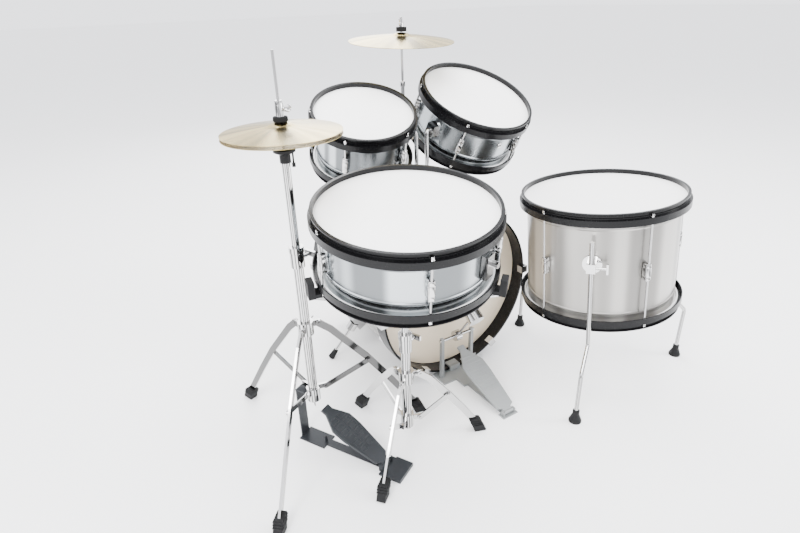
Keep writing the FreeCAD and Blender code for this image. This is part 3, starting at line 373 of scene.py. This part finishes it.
def turn(angle: float, axis: str = "Z") -> Matrix:
    """Short name for a rotation in degrees.

    Args:
        angle: Angle in degrees.
        axis: Axis letter.

    Returns:
        The rotation.
    """
    return Matrix.Rotation(math.radians(angle), 4, axis)


class Solid:
    """Collects the geometry of one visible piece."""

    def __init__(self, place: Matrix | None = None) -> None:
        """Start an empty piece.

        Args:
            place: Placement of the piece's own origin.
        """
        self.place = place or Matrix()
        self.mesh = bmesh.new()

    def lathe(self, profile: list[tuple[float, float]], at: Matrix | None = None,
              steps: int = 96) -> "Solid":
        """Turn a closed outline of (radius, height) about the local Z axis.

        Args:
            profile: Corners of the closed outline.
            at: Placement inside the piece.
            steps: Segments round the axis.

        Returns:
            The same solid.
        """
        at = at or Matrix()
        rings = []
        for step in range(steps):
            angle = 2 * math.pi * step / steps
            side = Vector((math.cos(angle), math.sin(angle), 0.0))
            rings.append([self.mesh.verts.new(at @ (side * r + UP * z)) for r, z in profile])
        count = len(profile)
        for step in range(steps):
            here, there = rings[step], rings[(step + 1) % steps]
            for i in range(count):
                j = (i + 1) % count
                self.mesh.faces.new((here[i], there[i], there[j], here[j]))
        return self

    def rod(self, start: Vector, end: Vector, radius: float) -> "Solid":
        """Add a round bar with slightly rounded ends.

        Args:
            start: First end.
            end: Other end.
            radius: Radius of the bar.

        Returns:
            The same solid.
        """
        run = end - start
        tip = radius * ROD_TIP
        at = Matrix.Translation(start) @ run.to_track_quat("Z", "Y").to_matrix().to_4x4()
        profile = [(CORE, 0), (radius - tip, 0), (radius, tip), (radius, run.length - tip),
                   (radius - tip, run.length), (CORE, run.length)]
        return self.lathe(profile, at, SCREW_STEPS)

    def block(self, size: tuple[float, float, float], at: Matrix, bevel: float = 0.001) -> "Solid":
        """Add a box with rounded edges.

        Args:
            size: Length, width and height.
            at: Placement of its centre.
            bevel: Edge rounding.

        Returns:
            The same solid.
        """
        part = bmesh.new()
        bmesh.ops.create_cube(part, size=1.0, matrix=Matrix.Diagonal((*size, 1.0)))
        bmesh.ops.bevel(part, geom=part.edges[:], offset=min(bevel, min(size) * 0.45), segments=3,
                        affect="EDGES", profile=0.5)
        part.transform(at)
        scratch = bpy.data.meshes.new("scratch")
        part.to_mesh(scratch)
        part.free()
        self.mesh.from_mesh(scratch)
        bpy.data.meshes.remove(scratch)
        return self

    def wing(self, at: Matrix, span: float, stem: float = 0.006) -> "Solid":
        """Add a wing screw: a round hub with two lobes.

        Args:
            at: Placement; local Z points along the screw, outward.
            span: Distance across both lobes.
            stem: Height of the hub.

        Returns:
            The same solid.
        """
        foot, head = WING_HUB
        self.lathe([(CORE, -stem), (foot, -stem), (head, stem), (CORE, stem)], at, SCREW_STEPS)
        for side in (-1, 1):
            lobe = at @ shift(side * span * 0.27, 0, stem * 0.6) @ turn(side * WING_SLOPE, "Y")
            self.block((span * 0.46, *WING_LOBE), lobe, WING_EDGE)
        return self

    def piece(self, name: str, look: Look, body: str, slot: str, replaced: tuple[str, ...] = (),
              crease: float = 35.0) -> bpy.types.Object:
        """Turn the geometry into an object that rides on a body.

        Args:
            name: Name of the piece.
            look: Its finish.
            body: CAD body it moves with.
            slot: Material slot in the record; not used.
            replaced: CAD nodes it stands for.
            crease: Angle above which edges stay sharp.

        Returns:
            The finished object.
        """
        bmesh.ops.remove_doubles(self.mesh, verts=self.mesh.verts, dist=WELD)
        bmesh.ops.recalc_face_normals(self.mesh, faces=self.mesh.faces)
        data = bpy.data.meshes.new(name)
        self.mesh.to_mesh(data)
        self.mesh.free()
        data.polygons.foreach_set("use_smooth", [True] * len(data.polygons))
        data.set_sharp_from_angle(angle=math.radians(crease))
        made = bpy.data.objects.new(name, data)
        bpy.context.scene.collection.objects.link(made)
        made.matrix_world = self.place
        data.materials.append(look.value.material())
        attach(made, body)
        if replaced:
            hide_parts(*replaced)
        return made


@dataclass(frozen=True)
class Cymbal:
    """A thin lathed cymbal with a bell."""

    node: str
    body: str
    radius: float
    bow: float
    lean: float = 0.0
    flipped: bool = False
    bell: float = 24.0 * MM
    hole: float = 4.2 * MM
    gauge: float = 1.0 * MM
    smoothings: int = 3

    def build(self) -> None:
        """Add the cymbal in place of its CAD node."""
        low, high = box_of(self.node)
        middle = (low + high) / 2
        if self.flipped:
            origin = Vector((middle.x, middle.y, high.z))
            place = Matrix.Translation(origin) @ turn(180, "X")
        else:
            rim = low.z + self.radius * math.sin(math.radians(self.lean))
            place = Matrix.Translation((middle.x, middle.y, rim)) @ turn(self.lean, "X")
        under = self._under()
        over = [(r, z + self.gauge) for r, z in reversed(under)]
        Solid(place).lathe(under + over, steps=ROUND_STEPS).piece(
            self.node + "_turned", Look.BRASS, self.body, "cymbal_brass", (self.node,), SOFT_CREASE)
        log.info("cymbal %s radius %.3f", self.node, self.radius)

    def _under(self) -> list[tuple[float, float]]:
        """Smooth underside from the rim to the hole.

        Returns:
            The (radius, height) points.
        """
        corners = [(self.radius, 0.0), (self.radius * 0.6, self.bow * 0.42),
                   (self.bell, self.bow * 0.68), (self.bell * 0.6, self.bow * 0.94),
                   (self.hole, self.bow)]
        points = []
        for (r0, z0), (r1, z1) in zip(corners, corners[1:]):
            points += [(r0 + (r1 - r0) * t / 4, z0 + (z1 - z0) * t / 4) for t in range(4)]
        points.append(corners[-1])
        for _ in range(self.smoothings):
            inner = [(b[0], (a[1] + 2 * b[1] + c[1]) / 4)
                     for a, b, c in zip(points, points[1:], points[2:])]
            points = [points[0], *inner, points[-1]]
        return points


@dataclass(frozen=True)
class MetalDrum:
    """A drum with pressed hoops, seen from its own top rim."""

    prefix: str
    body: str
    radius: float
    height: float
    lean_x: float
    lean_y: float
    first_lug: float
    vent: float | None = None
    look: Look = Look.METAL
    lugs: int = 5
    rod_reach: float = 12.6 * MM
    rod_radius: float = 2.4 * MM
    washer_radius: float = 3.8 * MM
    head_size: tuple[float, float, float] = (5.6 * MM, 5.6 * MM, 6.0 * MM)
    lug_size: tuple[float, float, float] = (15.6 * MM, 13.0 * MM, 38.0 * MM)
    lug_gap: float = 0.3 * MM
    hoop_seat: float = 12.9 * MM
    shell_inset: float = 11.0 * MM
    wall: float = 5.0 * MM
    bead_inset: float = 26.0 * MM
    bead_half: tuple[float, ...] = (3.8 * MM, 3.2 * MM, 2.0 * MM, 0.0)
    bead_rise: tuple[float, ...] = (0.0, 0.0, 0.6 * MM, 0.9 * MM)

    def place(self) -> Matrix:
        """Placement with the origin at the top rim and Z along the drum.

        Returns:
            The placement.
        """
        lean_x, lean_y = math.radians(self.lean_x), math.radians(self.lean_y)
        axis = Vector((math.sin(lean_x), math.cos(lean_x) * math.sin(lean_y),
                       math.cos(lean_x) * math.cos(lean_y)))
        across = Vector((axis.z, 0.0, -axis.x)).normalized()
        low, high = box_of(self.prefix + "_hoops")
        return basis(across, axis.cross(across), axis, (low + high) / 2 + axis * self.height / 2)

    def build(self) -> None:
        """Add the shell with its beads, the lugs and the vent."""
        place = self.place()
        self._shell(place)
        self._lugs(place)
        if self.vent is not None:
            at = turn(self.vent) @ shift(self.radius, 0, -self.height * 0.42) @ turn(90, "Y")
            ring = [(0.0028, 0.0), (0.0075, 0.0), (0.0068, 0.0016), (0.004, 0.0022), (0.0028, 0.0012)]
            Solid(place).lathe(ring, at, 32).piece(
                self.prefix + "_vent", Look.CHROME, self.body, "chrome")
        log.info("drum %s with %d lugs", self.prefix, self.lugs)

    def _shell(self, place: Matrix) -> None:
        """Add the shell.

        Args:
            place: Placement of the drum.
        """
        top, bottom, r = -self.shell_inset, self.shell_inset - self.height, self.radius
        rising = list(zip(self.bead_half, self.bead_rise))
        falling = [(-half, rise) for half, rise in reversed(rising[:-1])]
        outline = [(r - self.wall, top), (r, top)]
        for centre in (top - self.bead_inset, bottom + self.bead_inset):
            outline += [(r + rise, centre + half) for half, rise in rising + falling]
        outline += [(r, bottom), (r - self.wall, bottom)]
        Solid(place).lathe(outline, steps=ROUND_STEPS).piece(
            self.prefix + "_wrap", self.look, self.body, "shell_wrap", (self.prefix + "_shell",),
            SOFT_CREASE)

    def _lugs(self, place: Matrix) -> None:
        """Add the lugs with both rods, washers and square heads.

        Args:
            place: Placement of the drum.
        """
        depth, width, height = self.lug_size
        solid = Solid(place)
        half = self.height / 2
        reach = self.radius + self.rod_reach
        for index in range(self.lugs):
            at = turn(self.first_lug + 360.0 / self.lugs * index)
            middle = at @ shift(self.radius + self.lug_gap, 0, -half)
            solid.block((depth, width, height * 0.62), middle @ shift(depth / 2, 0, 0), 2.8 * MM)
            for end in (-1, 1):
                solid.block((depth * 0.9, width * 0.9, height * 0.30),
                            middle @ shift(depth * 0.53, 0, end * height * 0.36), 2.4 * MM)
                edge = -half + end * (half - self.hoop_seat)
                near = at @ Vector((reach, 0, -half + end * height * 0.45))
                far = at @ Vector((reach, 0, edge))
                solid.rod(near, far, self.rod_radius)
                solid.rod(far, far + UP * end * 1.5 * MM, self.washer_radius)
                solid.block(self.head_size, at @ shift(reach, 0, edge + end * 4.2 * MM), 0.6 * MM)
        solid.piece(self.prefix + "_hardware", Look.CHROME, self.body, "chrome",
                    (self.prefix + "_lugs",))


@dataclass(frozen=True)
class Pedal:
    """Tread detail on a footboard, placed from its heel hinge."""

    body: str
    joint: str
    slope: float
    length: float
    look: Look
    slot: str
    ribs: int
    first_rib: float
    rib_step: float
    half_width: float
    columns: bool
    tread: float = 3.0 * MM
    waist: float = 0.63
    rib: tuple[float, float] = (3.0 * MM, 2.4 * MM)
    outline: float = 2.0 * MM

    def place(self) -> Matrix:
        """Placement with X up the board, Z out of its tread.

        Returns:
            The placement.
        """
        joint = joint_of(self.joint)
        level = UP.cross(Vector(joint["axis"])).normalized()
        rise = math.radians(self.slope)
        along = level * math.cos(rise) + UP * math.sin(rise)
        normal = UP * math.cos(rise) - level * math.sin(rise)
        return basis(along, normal.cross(along), normal, Vector(joint["pos_m"]))

    def build(self) -> None:
        """Add the ribs, in one or two columns."""
        solid = Solid(self.place())
        for index in range(self.ribs):
            x = self.first_rib + index * self.rib_step
            half = self.half_width * (1.0 - 0.45 * abs(x / self.length - self.waist))
            if self.columns:
                for side in (-1, 1):
                    self._frame(solid, x, side * half * 0.5, half * 0.36)
            else:
                solid.block((self.rib[0], half * 2, self.rib[1]), shift(x, 0, self.tread), 1.1 * MM)
        solid.piece(self.body + "_tread", self.look, self.body, self.slot)
        log.info("pedal %s with %d ribs", self.body, self.ribs)

    def _frame(self, solid: Solid, x: float, y: float, half: float) -> None:
        """Add one raised outlined rectangle.

        Args:
            solid: Piece being filled.
            x: Middle along the board.
            y: Middle across the board.
            half: Half of its width.
        """
        deep = self.rib_step * 0.34
        for side in (-1, 1):
            solid.block((self.outline, half * 2, self.outline),
                        shift(x + side * deep, y, self.tread), 0.7 * MM)
            solid.block((deep * 2, self.outline, self.outline),
                        shift(x, y + side * half, self.tread), 0.7 * MM)


@dataclass(frozen=True)
class HatRod:
    """Pull rod of the hi-hat with its clutch, felt and chain."""

    radius: float = 2.5 * MM
    clutch: float = 7.2 * MM
    clutch_height: float = 26.0 * MM
    felt: float = 12.5 * MM
    felt_height: float = 9.0 * MM
    bore: float = 2.6 * MM
    nut: float = 7.8 * MM
    screw_heading: float = -31.0
    chain: float = 14.0 * MM
    links: int = 2
    link_step: float = 8.0 * MM
    link_size: tuple[float, float, float] = (1.8 * MM, 6.5 * MM, 8.5 * MM)

    def build(self) -> None:
        """Add the rod, clutch, felt and chain in place of the CAD node."""
        low, high = box_of("hihat_pull_rod")
        rim, bell = box_of("hihat_top_cymbal")
        x, y = (rim.x + bell.x) / 2, (rim.y + bell.y) / 2
        top, seat = high.z, bell.z
        solid = Solid()
        solid.rod(Vector((x, y, low.z + self.chain)), Vector((x, y, top)), self.radius)
        foot, head = seat + self.felt_height, seat + self.felt_height + self.clutch_height
        neck, bore = self.clutch * 0.93, self.bore
        solid.lathe([(bore, foot), (self.clutch, foot), (self.clutch, head - 8 * MM),
                     (neck, head - 7 * MM), (neck, head - 1 * MM), (self.clutch * 0.8, head),
                     (bore, head)], shift(x, y, 0), 48)
        low_nut, high_nut = seat - 4.8 * MM, seat - 2.0 * MM
        solid.lathe([(bore, low_nut), (self.nut, low_nut), (self.nut, high_nut), (bore, high_nut)],
                    shift(x, y, 0), 6)
        screw = (shift(x, y, foot + 13 * MM) @ turn(self.screw_heading)
                 @ shift(self.clutch + 5 * MM, 0, 0) @ turn(90, "Y"))
        solid.rod(screw @ Vector((0, 0, -6 * MM)), screw @ Vector((0, 0, 4 * MM)), 2.4 * MM)
        solid.wing(screw @ turn(110), 20 * MM, 4 * MM)
        for index in range(self.links):
            spot = shift(x, y, low.z + 4.5 * MM + index * self.link_step) @ turn(90 * index)
            solid.block(self.link_size, spot, 0.8 * MM)
        solid.piece("hihat_rod_hardware", Look.CHROME, "hihat_rod", "chrome", ("hihat_pull_rod",))
        base = seat + 0.2 * MM
        Solid().lathe([(bore, base), (self.felt * 0.84, base), (self.felt, base + 2 * MM),
                       (self.felt, foot - 2 * MM), (self.felt * 0.93, foot), (bore, foot)],
                      shift(x, y, 0), 48).piece("hihat_felt", Look.FELT, "hihat_rod", "chrome")
        log.info("hi-hat rod with %d links", self.links)


@dataclass(frozen=True)
class CrashRod:
    """Rod of the crash cymbal with its sleeve, felt and wing nut."""

    radius: float = 5.0 * MM
    tip: float = 3.0 * MM
    step_drop: float = 110.4 * MM
    felt: float = 12.5 * MM
    felt_height: float = 11.0 * MM
    bore: float = 3.1 * MM
    sleeve: float = 6.6 * MM
    gauge: float = 1.0 * MM
    play: float = 1.6 * MM
    nut_heading: float = 30.0

    def build(self) -> None:
        """Add the rod and its fittings in place of the CAD node."""
        low, high = box_of("crash_rod")
        x, y = (low.x + high.x) / 2, (low.y + high.y) / 2
        hole = joint_of("crash_swing")["pos_m"][2]
        felt = hole + self.gauge + self.play
        nut = felt + self.felt_height
        step, bore = hole - self.step_drop, self.bore
        solid = Solid()
        solid.rod(Vector((x, y, low.z)), Vector((x, y, step)), self.radius)
        solid.rod(Vector((x, y, step - 4 * MM)), Vector((x, y, high.z - 2 * MM)), self.tip)
        foot, head, sleeve = step - 12 * MM, step + 1 * MM, self.sleeve
        solid.lathe([(self.tip, foot), (sleeve, foot), (sleeve, step - 1 * MM), (sleeve - 1 * MM, head),
                     (self.tip, head)], shift(x, y, 0), 32)
        solid.wing(shift(x, y, nut + 4.2 * MM) @ turn(self.nut_heading), 20 * MM, 4 * MM)
        for side in (-1, 1):
            lobe = (shift(x, y, nut + 12 * MM) @ turn(self.nut_heading) @ shift(side * 6.8 * MM, 0, 0)
                    @ turn(side * 18, "Y"))
            solid.block((4.2 * MM, 3.0 * MM, 14.0 * MM), lobe, 1.2 * MM)
        solid.piece("crash_rod_hardware", Look.CHROME, "crash_rod", "chrome", ("crash_rod",))
        soft = Solid()
        soft.lathe([(bore, felt), (self.felt, felt + 0.8 * MM), (self.felt, nut - 0.8 * MM),
                    (bore, nut)], shift(x, y, 0), 48)
        low_pad, high_pad = hole - 10.5 * MM, hole - 2.6 * MM
        soft.lathe([(bore, low_pad), (8.8 * MM, low_pad), (6.5 * MM, high_pad), (bore, high_pad)],
                   shift(x, y, 0), 48)
        soft.piece("crash_felts", Look.FELT, "crash_rod", "chrome")
        log.info("crash rod")


@dataclass(frozen=True)
class HubScrew:
    """Wing bolt on a tripod's collar."""

    node: str
    body: str
    heading: float
    reach: float
    span: float

    def build(self) -> None:
        """Add the bolt."""
        low, high = box_of(self.node)
        tube_low, tube_high = box_of(self.node.replace("leg_hub", "upper_tube"))
        x, y = (tube_low.x + tube_high.x) / 2, (tube_low.y + tube_high.y) / 2
        at = (shift(x, y, (low.z + high.z) / 2) @ turn(self.heading) @ shift(self.reach, 0, 0)
              @ turn(90, "Y"))
        bolt = Solid().rod(at @ Vector((0, 0, -12 * MM)), at @ Vector((0, 0, 0)), 3 * MM)
        bolt.wing(at @ turn(35), self.span)
        bolt.piece(self.node + "_bolt", Look.CHROME, self.body, "chrome")
        log.info("wing bolt on %s", self.node)


@dataclass(frozen=True)
class CarriedParts:
    """Finishes for the CAD nodes that stay visible."""

    foot_height: float = 31.2 * MM
    spur_foot_height: float = 29.0 * MM
    below_floor: float = 10.0 * MM

    def apply(self) -> None:
        """Give every carried-over node its finish."""
        plain = {
            Look.HOOP: ["snare_hoops", "left_tom_hoops", "right_tom_hoops", "floor_tom_hoops",
                        "bass_hoops"],
            Look.HEAD: ["snare_heads", "left_tom_heads", "right_tom_heads", "floor_tom_heads"],
            Look.CREAM_HEAD: ["bass_heads"],
            Look.SHELL: ["bass_shell"],
            Look.RUBBER: ["snare_grips"],
            Look.PLASTIC: ["hihat_seat"],
            Look.DARK_STEEL: ["hihat_pedal_frame", "hihat_footboard"],
            Look.GREY_PAINT: ["bass_pedal_frame", "bass_footboard"],
        }
        named = {node: look for look, nodes in plain.items() for node in nodes}
        footed = ("floor_leg_a", "floor_leg_b", "floor_leg_c", "snare_leg_a", "snare_leg_b",
                  "snare_leg_c", "hihat_legs")
        feet = {node: self.foot_height for node in footed}
        feet.update(left_spur=self.spur_foot_height, right_spur=self.spur_foot_height)
        for node, item in frame["nodes"].items():
            if node in feet:
                material = BandedFinish(node + "_look", Look.CHROME.value, Look.RUBBER.value,
                                        ((-self.below_floor, feet[node]),)).material()
            else:
                material = named.get(node, Look.CHROME).value.material()
            item.data.materials.clear()
            item.data.materials.append(material)
        log.info("finishes on %d CAD nodes", len(frame["nodes"]))


@dataclass(frozen=True)
class Studio:
    """Floor, light and camera."""

    floor_size: float = 60.0
    eye: tuple[float, float, float] = (-0.72812, -0.91597, 0.86796)
    ahead: tuple[float, float] = (0.52489, 0.85117)
    pitch: float = 26.152
    roll: float = 1.786
    lens: float = 24.85
    sensor: float = 36.0
    aim: tuple[float, float, float] = (0.0, 0.0, 0.4)
    sky: tuple[float, float, float] = (0.95, 0.96, 1.0)
    sky_strength: float = 2.6

    def build(self) -> None:
        """Set up the floor, the lights, the world and the camera."""
        self._floor()
        self._light("key", (-2.1, -1.3, 2.4), 1.0, 2.2, 150.0)
        self._light("fill", (2.1, -1.6, 1.8), 0.8, 2.2, 80.0)
        self._light("top", (0.2, 0.3, 3.2), 2.2, 2.2, 140.0)
        self._light("back", (1.0, 2.4, 1.8), 1.0, 2.0, 50.0)
        world = bpy.data.worlds.new("studio")
        world.use_nodes = True
        backdrop = world.node_tree.nodes["Background"]
        backdrop.inputs["Color"].default_value = (*self.sky, 1.0)
        backdrop.inputs["Strength"].default_value = self.sky_strength
        bpy.context.scene.world = world
        self._camera()
        log.info("studio ready")

    def _floor(self) -> None:
        """Add the plain pale floor."""
        half = self.floor_size / 2
        data = bpy.data.meshes.new("floor")
        corners = [(-half, -half, 0), (half, -half, 0), (half, half, 0), (-half, half, 0)]
        data.from_pydata(corners, [], [(0, 1, 2, 3)])
        floor = bpy.data.objects.new("floor", data)
        bpy.context.scene.collection.objects.link(floor)
        data.materials.append(Look.FLOOR.value.material())

    def _light(self, name: str, spot: tuple[float, float, float], width: float, height: float,
               power: float) -> None:
        """Args:
            name: Name of the light.
            spot: Its position.
            width: Width of the box.
            height: Height of the box.
            power: Power in watts.
        """
        data = bpy.data.lights.new(name, "AREA")
        data.shape = "RECTANGLE"
        data.size, data.size_y, data.energy = width, height, power
        lamp = bpy.data.objects.new(name, data)
        bpy.context.scene.collection.objects.link(lamp)
        lamp.location = spot
        lamp.rotation_euler = (Vector(self.aim) - Vector(spot)).to_track_quat("-Z", "Y").to_euler()

    def _camera(self) -> None:
        """Place the camera at the fitted view."""
        low, high = box_of("bass_hoops")
        origin = Vector(((low.x + high.x) / 2, low.y, 0.0))
        ahead = Vector((*self.ahead, 0.0)).normalized()
        right = ahead.cross(UP)
        pitch, roll = math.radians(self.pitch), math.radians(self.roll)
        down = -math.sin(pitch) * ahead - math.cos(pitch) * UP
        view = math.cos(pitch) * ahead - math.sin(pitch) * UP
        across = math.cos(roll) * right + math.sin(roll) * down
        below = -math.sin(roll) * right + math.cos(roll) * down
        data = bpy.data.cameras.new("view")
        data.lens = self.lens
        data.sensor_width = self.sensor
        camera = bpy.data.objects.new("view", data)
        bpy.context.scene.collection.objects.link(camera)
        camera.matrix_world = basis(across, -below, -view, origin + Vector(self.eye))
        bpy.context.scene.camera = camera


def plain(bounds: object) -> list:
    """Turn bounds into plain lists.


    Returns:
        Nested lists of numbers.
    """
    return [[float(number) for number in corner] for corner in bounds]


def main() -> None:
    """Build the looks, logging each part as it is built."""
    logging.basicConfig(level=logging.INFO, format="%(message)s")
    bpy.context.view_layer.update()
    CarriedParts().apply()
    drums = (
        MetalDrum("snare", "snare", radius=152.4 * MM, height=138.8 * MM, lean_x=-2.52, lean_y=-7.10,
                  first_lug=-110),
        MetalDrum("left_tom", "left_tom", radius=101.6 * MM, height=138.0 * MM, lean_x=-5.36,
                  lean_y=-22.08, first_lug=-139),
        MetalDrum("right_tom", "right_tom", radius=127.0 * MM, height=135.0 * MM, lean_x=3.36,
                  lean_y=-26.85, first_lug=-133, vent=-88),
        MetalDrum("floor_tom", "root", radius=165.1 * MM, height=265.5 * MM, lean_x=-2.15,
                  lean_y=4.49, first_lug=-109, vent=-37, look=Look.SHELL),
    )
    cymbals = (
        Cymbal("hihat_top_cymbal", "hihat_rod", radius=101.6 * MM, bow=15.0 * MM),
        Cymbal("hihat_bottom_cymbal", "hihat_upper", radius=101.6 * MM, bow=15.0 * MM, flipped=True),
        Cymbal("crash_cymbal", "crash_cymbal", radius=127.0 * MM, bow=19.0 * MM, lean=3.8),
    )
    pedals = (
        Pedal("bass_footboard", "bass_press", slope=22.51, length=196.0 * MM, look=Look.GREY_PAINT,
              slot="pedal_grey", ribs=11, first_rib=62.0 * MM, rib_step=10.0 * MM,
              half_width=26.0 * MM, columns=False),
        Pedal("hihat_footboard", "hihat_press", slope=29.91, length=168.4 * MM, look=Look.DARK_STEEL,
              slot="pedal_black", ribs=6, first_rib=52.0 * MM, rib_step=16.0 * MM,
              half_width=26.0 * MM, columns=True),
    )
    hardware = (
        HatRod(),
        CrashRod(),
        HubScrew("snare_leg_hub", "snare_hub", heading=-10.0, reach=24.0 * MM, span=26.0 * MM),
        HubScrew("hihat_leg_hub", "root", heading=48.0, reach=24.0 * MM, span=22.0 * MM),
    )
    for part in (*drums, *cymbals, *pedals, *hardware):
        part.build()
    Studio().build()


if __name__ == "__main__":
    main()
